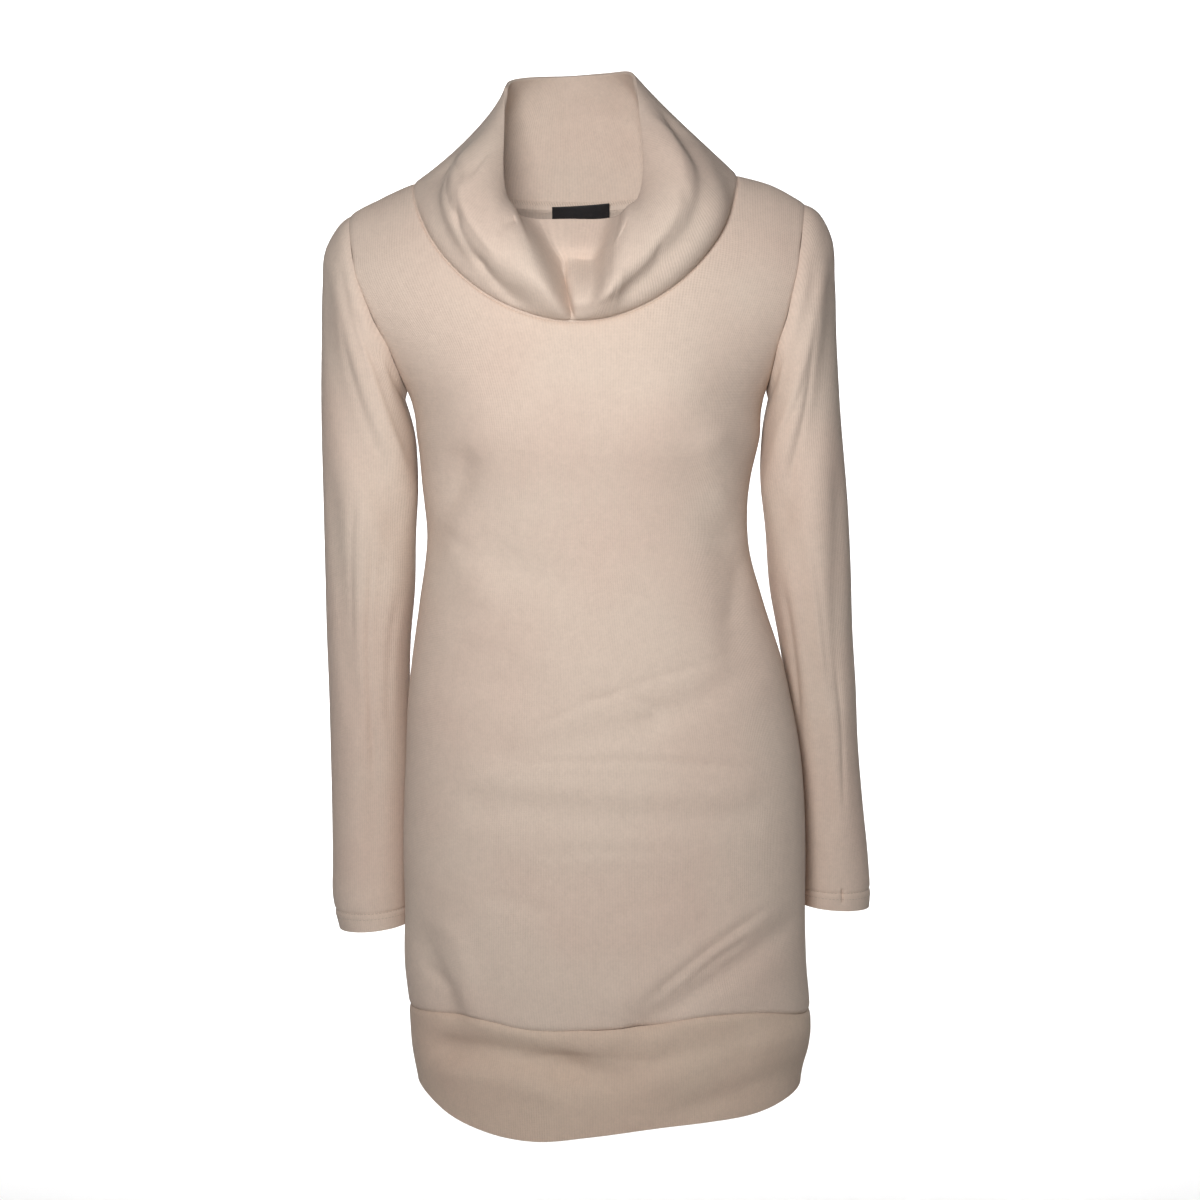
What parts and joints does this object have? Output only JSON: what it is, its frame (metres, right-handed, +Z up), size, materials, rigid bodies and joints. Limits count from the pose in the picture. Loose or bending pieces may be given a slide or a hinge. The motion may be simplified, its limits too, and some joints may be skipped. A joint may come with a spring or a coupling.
{
  "type": "turtleneck dress",
  "caption": "Long-sleeved knitted dress with a tall draped cowl collar and a wide hem band, filled out as if worn.",
  "frame": {"origin": "inside the neck, midway between front and back, level with the sides of the neck, where the shoulders carry the dress", "axes": "+Z up towards the collar, front faces -Y, wearer's left is +X"},
  "size_m": [0.4882, 0.2685, 0.9171],
  "materials": {
    "front_panel_cloth": "soft matt beige jersey knit",
    "back_panel_cloth": "soft matt beige jersey knit",
    "sleeve_wearers_right_cloth": "soft matt beige jersey knit",
    "sleeve_wearers_left_cloth": "soft matt beige jersey knit",
    "cowl_collar_cloth": "soft matt beige jersey knit",
    "hem_band_cloth": "soft matt beige jersey knit",
    "neck_label_cloth": "plain black woven label"
  },
  "bodies": {
    "root": {"front_panel": "front_panel_cloth", "back_panel": "back_panel_cloth", "sleeve_wearers_right": "sleeve_wearers_right_cloth", "sleeve_wearers_left": "sleeve_wearers_left_cloth", "cowl_collar": "cowl_collar_cloth", "hem_band": "hem_band_cloth", "neck_label": "neck_label_cloth"}
  },
  "joints": []
}
